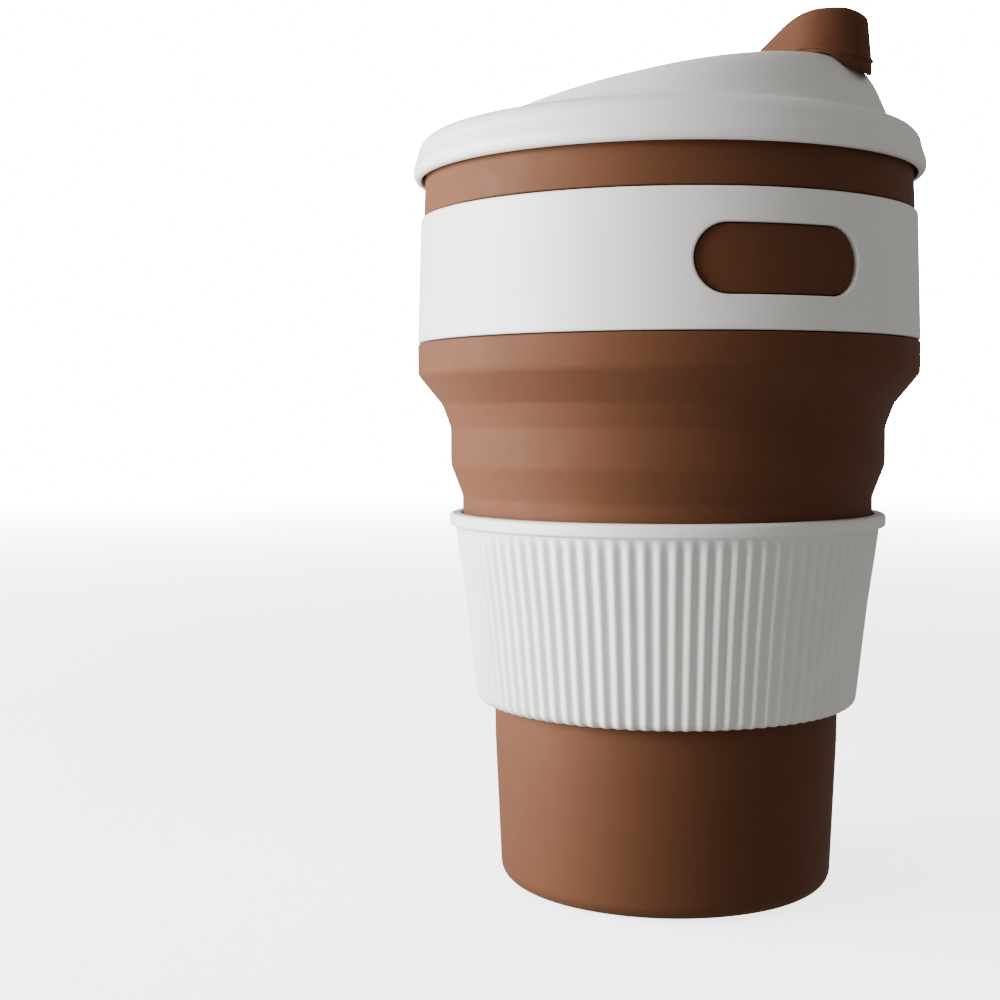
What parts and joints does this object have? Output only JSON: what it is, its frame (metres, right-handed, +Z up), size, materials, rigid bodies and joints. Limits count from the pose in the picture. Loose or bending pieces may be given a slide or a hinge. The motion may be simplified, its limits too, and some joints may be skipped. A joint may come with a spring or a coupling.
{
  "type": "collapsible travel cup",
  "caption": "Collapsible silicone drinking cup with a plastic grip band, a ribbed heat sleeve, and a push-on lid with a strapped sip-hole stopper.",
  "frame": {"origin": "middle of the cup's flat base, on the surface it stands on", "axes": "+Z up the cup's axis, +X towards the sip hole and the stopper's cap, +Y to the left when looking along +X"},
  "size_m": [0.0918, 0.0918, 0.1527],
  "materials": {
    "brown_silicone": "matte moulded silicone, mid brown",
    "stopper_silicone": "matte moulded silicone, mid brown",
    "white_plastic": "satin white polypropylene",
    "ribbed_plastic": "satin white polypropylene with fine vertical ribs",
    "lid_plastic": "satin white polypropylene",
    "button_plastic": "smooth white polypropylene"
  },
  "bodies": {
    "base": {"cup_base": "brown_silicone", "lower_fold_web": "brown_silicone"},
    "middle_tier": {"middle_cup_wall": "brown_silicone", "upper_fold_web": "brown_silicone"},
    "upper_tier": {"upper_cup_wall": "brown_silicone", "grip_band": "white_plastic"},
    "sleeve": {"heat_sleeve": "ribbed_plastic"},
    "lid": {"lid_shell": "lid_plastic", "stopper_disc": "stopper_silicone", "stopper_button": "button_plastic"},
    "stopper": {"stopper_strap": "stopper_silicone"}
  },
  "joints": [
    {"name": "lower_fold", "type": "slide", "parent": "base", "child": "middle_tier", "axis": [0, 0, -1], "range_m": [0, 0.0645], "deforming": ["lower_fold_web"]},
    {"name": "upper_fold", "type": "slide", "parent": "middle_tier", "child": "upper_tier", "axis": [0, 0, -1], "range_m": [0, 0.0257], "deforming": ["upper_fold_web"]},
    {"name": "sleeve_slide", "type": "slide", "parent": "middle_tier", "child": "sleeve", "axis": [0, 0, -1], "range_m": [0, 0.07]},
    {"name": "lid_lift", "type": "slide", "parent": "upper_tier", "child": "lid", "axis": [0, 0, 1], "range_m": [0, 0.045]},
    {"name": "stopper_flip", "type": "hinge", "parent": "lid", "child": "stopper", "pos_m": [0.0015, 0, 0.1383], "axis": [0, -1, 0], "range_deg": [0, 90]}
  ]
}
